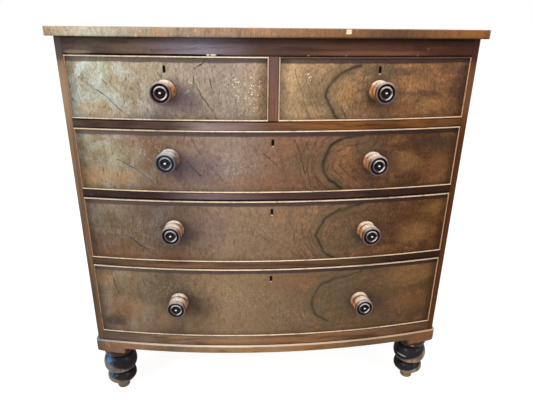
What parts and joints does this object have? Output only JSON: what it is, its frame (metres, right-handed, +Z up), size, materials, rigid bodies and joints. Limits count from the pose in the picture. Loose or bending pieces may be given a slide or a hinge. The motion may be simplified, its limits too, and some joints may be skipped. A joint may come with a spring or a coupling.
{
  "type": "bow front chest of drawers",
  "caption": "Bow front chest with short drawers over long ones, cockbeaded fronts, turned wooden knobs, keyhole locks, a plinth moulding and turned feet.",
  "frame": {"origin": "middle of the footprint, on the floor", "axes": "+Z up, +X to the right of someone facing the drawers, +Y towards the back; the drawers pull out along -Y"},
  "size_m": [1.096, 0.5556, 1.1299],
  "materials": {
    "figured_veneer": "worn polished figured mahogany veneer, bleached at the left",
    "case_veneer": "polished straight grained mahogany veneer",
    "top_veneer": "polished mahogany, faded and patched along its edge",
    "plinth_wood": "polished mahogany moulding, rubbed pale on its edge",
    "foot_wood": "dark glossy turned mahogany",
    "bead_wood": "rubbed pale bead",
    "knob_wood": "turned and polished, dark in the turned grooves",
    "drawer_lining": "plain oak, unpolished",
    "pine": "plain pine, unpolished",
    "lock_steel": "dull iron"
  },
  "bodies": {
    "carcase": {"top_board": "top_veneer", "side_left": "case_veneer", "side_right": "case_veneer", "back_boards": "pine", "bottom_board": "pine", "frieze_rail": "case_veneer", "back_top_rail": "pine", "divider_upper": "case_veneer", "divider_middle": "case_veneer", "divider_lower": "case_veneer", "base_rail": "case_veneer", "partition": "case_veneer", "plinth": "plinth_wood", "foot_front_left": "foot_wood", "foot_front_right": "foot_wood", "foot_back_left": "foot_wood", "foot_back_right": "foot_wood"},
    "lower_drawer": {"lower_drawer_front": "figured_veneer", "lower_drawer_side_left": "drawer_lining", "lower_drawer_side_right": "drawer_lining", "lower_drawer_back": "drawer_lining", "lower_drawer_bottom": "drawer_lining", "lower_drawer_cockbead": "bead_wood", "lower_drawer_knob_left": "knob_wood", "lower_drawer_knob_right": "knob_wood"},
    "middle_drawer": {"middle_drawer_front": "figured_veneer", "middle_drawer_side_left": "drawer_lining", "middle_drawer_side_right": "drawer_lining", "middle_drawer_back": "drawer_lining", "middle_drawer_bottom": "drawer_lining", "middle_drawer_cockbead": "bead_wood", "middle_drawer_knob_left": "knob_wood", "middle_drawer_knob_right": "knob_wood"},
    "upper_drawer": {"upper_drawer_front": "figured_veneer", "upper_drawer_side_left": "drawer_lining", "upper_drawer_side_right": "drawer_lining", "upper_drawer_back": "drawer_lining", "upper_drawer_bottom": "drawer_lining", "upper_drawer_cockbead": "bead_wood", "upper_drawer_knob_left": "knob_wood", "upper_drawer_knob_right": "knob_wood"},
    "top_left_drawer": {"top_left_drawer_front": "figured_veneer", "top_left_drawer_side_left": "drawer_lining", "top_left_drawer_side_right": "drawer_lining", "top_left_drawer_back": "drawer_lining", "top_left_drawer_bottom": "drawer_lining", "top_left_drawer_cockbead": "bead_wood", "top_left_drawer_knob": "knob_wood"},
    "top_right_drawer": {"top_right_drawer_front": "figured_veneer", "top_right_drawer_side_left": "drawer_lining", "top_right_drawer_side_right": "drawer_lining", "top_right_drawer_back": "drawer_lining", "top_right_drawer_bottom": "drawer_lining", "top_right_drawer_cockbead": "bead_wood", "top_right_drawer_knob": "knob_wood"},
    "lower_drawer_bolt": {"lower_drawer_lock_bolt": "lock_steel"},
    "middle_drawer_bolt": {"middle_drawer_lock_bolt": "lock_steel"},
    "upper_drawer_bolt": {"upper_drawer_lock_bolt": "lock_steel"},
    "top_left_drawer_bolt": {"top_left_drawer_lock_bolt": "lock_steel"},
    "top_right_drawer_bolt": {"top_right_drawer_lock_bolt": "lock_steel"}
  },
  "joints": [
    {"name": "lower_drawer_slide", "type": "slide", "parent": "carcase", "child": "lower_drawer", "axis": [0, -1, 0], "range_m": [0, 0.33]},
    {"name": "middle_drawer_slide", "type": "slide", "parent": "carcase", "child": "middle_drawer", "axis": [0, -1, 0], "range_m": [0, 0.33]},
    {"name": "upper_drawer_slide", "type": "slide", "parent": "carcase", "child": "upper_drawer", "axis": [0, -1, 0], "range_m": [0, 0.33]},
    {"name": "top_left_drawer_slide", "type": "slide", "parent": "carcase", "child": "top_left_drawer", "axis": [0, -1, 0], "range_m": [0, 0.33]},
    {"name": "top_right_drawer_slide", "type": "slide", "parent": "carcase", "child": "top_right_drawer", "axis": [0, -1, 0], "range_m": [0, 0.33]},
    {"name": "lower_drawer_lock", "type": "slide", "parent": "lower_drawer", "child": "lower_drawer_bolt", "axis": [0, 0, 1], "range_m": [0, 0.008]},
    {"name": "middle_drawer_lock", "type": "slide", "parent": "middle_drawer", "child": "middle_drawer_bolt", "axis": [0, 0, 1], "range_m": [0, 0.008]},
    {"name": "upper_drawer_lock", "type": "slide", "parent": "upper_drawer", "child": "upper_drawer_bolt", "axis": [0, 0, 1], "range_m": [0, 0.008]},
    {"name": "top_left_drawer_lock", "type": "slide", "parent": "top_left_drawer", "child": "top_left_drawer_bolt", "axis": [0, 0, 1], "range_m": [0, 0.008]},
    {"name": "top_right_drawer_lock", "type": "slide", "parent": "top_right_drawer", "child": "top_right_drawer_bolt", "axis": [0, 0, 1], "range_m": [0, 0.008]}
  ]
}
